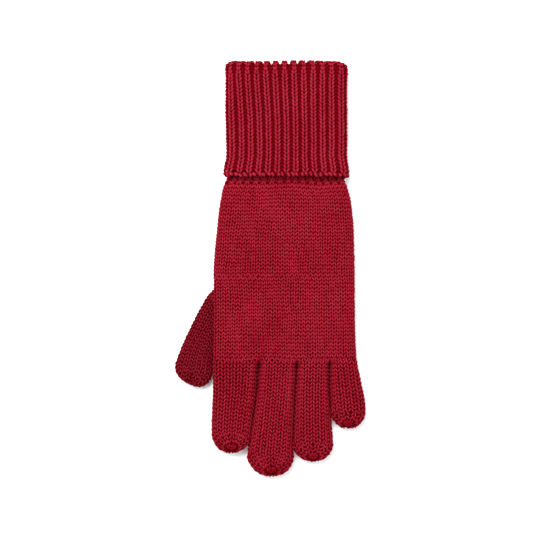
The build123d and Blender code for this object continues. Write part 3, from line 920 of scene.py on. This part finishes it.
def makeTurnup():
    columns = cuff["columns"]
    bottom = edgeLow[1] + cuff["edgeUp"]
    roll = cuff["foldInset"] / 2  # radius of the fold at the guide surface
    outerRoll = roll + cuff["outerRoll"]
    straight = foldHigh[1] - ribCrest - roll - bottom
    rows = int(round(straight / ribStitch["rowPitch"]))
    pitch = straight / rows
    rowAt = np.arange(-1.5, rows + cuff["foldRows"] + 1.01, 0.5)
    rings = []
    for row in rowAt:
        s = row * pitch
        y, inset = bottom + s, ribCrest
        if s > straight:
            turn = min((s - straight) / outerRoll, pi)
            y = bottom + straight + roll * sin(turn) - max(s - straight - pi * outerRoll, 0)
            inset = ribCrest + roll * (1 - cos(turn))
        flared = cuff["flare"] * (1 - ease(np.array(y), bottom, bottom + cuff["flareLength"]))
        ring = cuffRing(y, inset, flared, cuff["waverSeed"])
        # the ribs wander a little, most of all on the thumb's side
        thumbSide = ease(-ring[:, 0], *cuff["leanAcross"])
        lean = -cuff["lean"] * ease(np.array(y), cuff["leanFrom"], foldHigh[1]) * thumbSide
        lean = lean * ease(ring[:, 0], foldLow[0] + 1.5, foldLow[0] + 9.0)
        # on the back each rib rounds off higher than the gutters beside it, and hides the palm side
        back = ease(ring[:, 1] - cuffMiddleZ, -2.0, 2.0)
        ribTurn = pi * np.arange(len(ring)) / 2
        near = [ease(np.array(s), straight - cuff[reach], straight)
                for reach in ("scallopLength", "underLength", "pinchLength")]
        scallop = cuff["scallop"] * np.cos(ribTurn) * back * near[0]
        under = cuff["under"] * (1 - back) * near[1]
        pinch = cuff["pinch"] * (2 * back - 1) * near[2]
        ring[:, 0] -= pinch * np.sin(ribTurn)
        spots = y + wobble(ring[:, 0], 1.0, 0.35, 35) + scallop - under
        rings.append(np.stack([ring[:, 0] + lean, spots, ring[:, 1]], axis=1))
    rings = np.array(rings)
    guide, normals = makeGuide("turnupGuide", rings, rowAt, np.ones(len(rowAt)))
    half = rows // 2
    seed = cuff["seed"]
    edge = knit("turnup_cast_on_edge", guide, columns, 1, -1, edgeTwist, crimson, seed)
    lowerRib = knit("turnup_lower_rib", guide, columns, half, 0, ribStitch, crimson, seed)
    upperRib = knit("turnup_upper_rib", guide, columns, rows - half, half, ribStitch, crimson, seed)
    fold = knit("turnup_fold_rib", guide, columns, cuff["foldRows"], rows, ribStitch, crimson, seed)
    cut = int(np.searchsorted(rowAt, rows)) + 1
    lining = makeLining("turnup_lining", rings[2:cut], normals[2:cut], liningPaintedShadeWool, shift=0.0)
    foldLining = makeLining("turnup_fold_lining", rings[cut - 1:-1], normals[cut - 1:-1], liningPaintedShadeWool,
                            shift=0.0)
    finish(edge, "turnup", "edges", "turnup_edge")
    for piece in (lowerRib, upperRib, lining):
        finish(piece, "turnup", "rib_knit", "turnup_rib")
    for piece in (fold, foldLining):
        finish(piece, "turnup", "edges", "turnup_fold")
    bpy.data.objects.remove(guide)
    print("turn-up:", rows, "rows of", columns)


def makeInnerRib():
    columns = cuff["columns"]
    low, high = boxMm("cuff_inner_rib")
    bottom, top = low[1] - 1.0, high[1] - 3.0
    rows = int(round((top - bottom) / ribStitch["rowPitch"]))
    pitch = (top - bottom) / rows
    rowAt = np.arange(-1.0, rows + 1.01, 0.5)
    # from the fold down to the wrist, so the rows run the way that they were knitted
    rings = []
    for row in rowAt:
        y = top - row * pitch
        ring = cuffRing(y, ribCrest + cuff["foldInset"] * 0.92, 0.0, cuff["innerWaverSeed"])
        rings.append(np.stack([ring[:, 0], np.full(len(ring), y), ring[:, 1]], axis=1))
    rings = np.array(rings)
    guide, normals = makeGuide("innerRibGuide", rings, rowAt, np.ones(len(rowAt)))
    half = rows // 2
    for part, first, count in (("upper", 0, half), ("lower", half, rows - half)):
        piece = knit(f"inner_rib_{part}", guide, columns, count, first, innerRibStitch, crimson,
                     cuff["innerSeed"])
        finish(piece, "hand", "rib_knit", "cuff_inner_rib")
    lining = makeLining("inner_rib_lining", rings[1:-1], normals[1:-1], liningPaintedShadeWool, shift=0.0)
    finish(lining, "hand", "rib_knit", "cuff_inner_rib")
    bpy.data.objects.remove(guide)
    print("inner rib:", rows, "rows of", columns)


makeHand()
for fingerName in fingers:
    makeFinger(fingerName)
makeForks()
makeThumb()
makeTurnup()
makeInnerRib()


# sizes of the stage, the lights and the camera's place are in metres
stage = {"reach": 3.0, "color": (0.93, 0.93, 0.93, 1), "rough": 0.9, "sky": 0.85}
lights = {
    "keyLight": {"place": (-0.45, 0.75, 1.4), "size": 1.1, "watts": 42},
    "fillLight": {"place": (0.9, -0.3, 1.2), "size": 1.4, "watts": 10},
}


def makeStage():
    made = bpy.data.materials.new("paleFloor")
    made.use_nodes = True
    shader = made.node_tree.nodes["Principled BSDF"]
    shader.inputs["Base Color"].default_value = stage["color"]
    shader.inputs["Roughness"].default_value = stage["rough"]
    mesh = bpy.data.meshes.new("floor")
    far = stage["reach"]
    corners = [(-far, -far, 0), (far, -far, 0), (far, far, 0), (-far, far, 0)]
    mesh.from_pydata(corners, [], [(0, 1, 2, 3)])
    mesh.materials.append(made)
    link(bpy.data.objects.new("floor", mesh))


def makeLight(name):
    light = lights[name]
    lamp = bpy.data.lights.new(name, "AREA")
    lamp.shape = "DISK"
    lamp.size = light["size"]
    lamp.energy = light["watts"]
    obj = link(bpy.data.objects.new(name, lamp))
    obj.location = light["place"]
    toGlove = -Vector(light["place"])
    obj.rotation_euler = toGlove.to_track_quat("-Z", "Y").to_euler()


# the camera looks straight down; its distance is in metres and the rest in millimetres
view = {"distance": 1.5, "aimX": -11.9, "aimY": 1.8, "gloveHigh": 14, "fieldWide": 351.8, "sensor": 36.0}


def makeCamera():
    camera = bpy.data.cameras.new("camera")
    camera.sensor_width = view["sensor"]
    camera.lens = view["sensor"] * view["distance"] / (view["fieldWide"] * mm)
    obj = link(bpy.data.objects.new("camera", camera))
    obj.location = (view["aimX"] * mm, view["aimY"] * mm, view["distance"] + view["gloveHigh"] * mm)
    bpy.context.scene.camera = obj


def makeWorld():
    world = bpy.data.worlds.new("studio")
    bpy.context.scene.world = world
    world.use_nodes = True
    sky = world.node_tree.nodes["Background"]
    sky.inputs["Color"].default_value = (1, 1, 1, 1)
    sky.inputs["Strength"].default_value = stage["sky"]


bpy.context.scene.view_settings.view_transform = "Standard"
makeStage()
makeWorld()
for lightName in lights:
    makeLight(lightName)
makeCamera()
print("stage, lights and camera")
